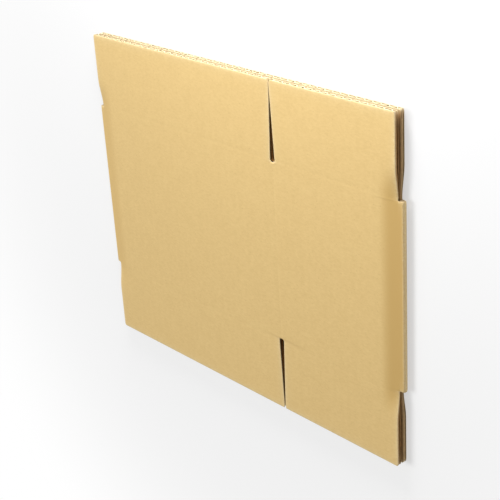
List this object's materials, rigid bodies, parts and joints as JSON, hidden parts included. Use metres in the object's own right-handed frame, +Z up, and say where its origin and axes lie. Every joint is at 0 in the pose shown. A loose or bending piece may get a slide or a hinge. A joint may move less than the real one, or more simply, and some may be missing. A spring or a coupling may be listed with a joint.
{
  "type": "flattened cardboard box",
  "caption": "Plain brown corrugated cardboard carton folded flat: slotted end flaps, pinched folded edges and a glued joint behind, lying face up.",
  "frame": {"origin": "middle of the underside of the flat box", "axes": "+X across the box from fold to fold, towards the narrow front panel; +Y along the flutes; +Z up, out of the front face"},
  "size_m": [0.3652, 0.29, 0.0104],
  "materials": {
    "corrugated_board": "matte kraft liner"
  },
  "bodies": {
    "root": {"flattened_box": "corrugated_board"}
  },
  "joints": []
}
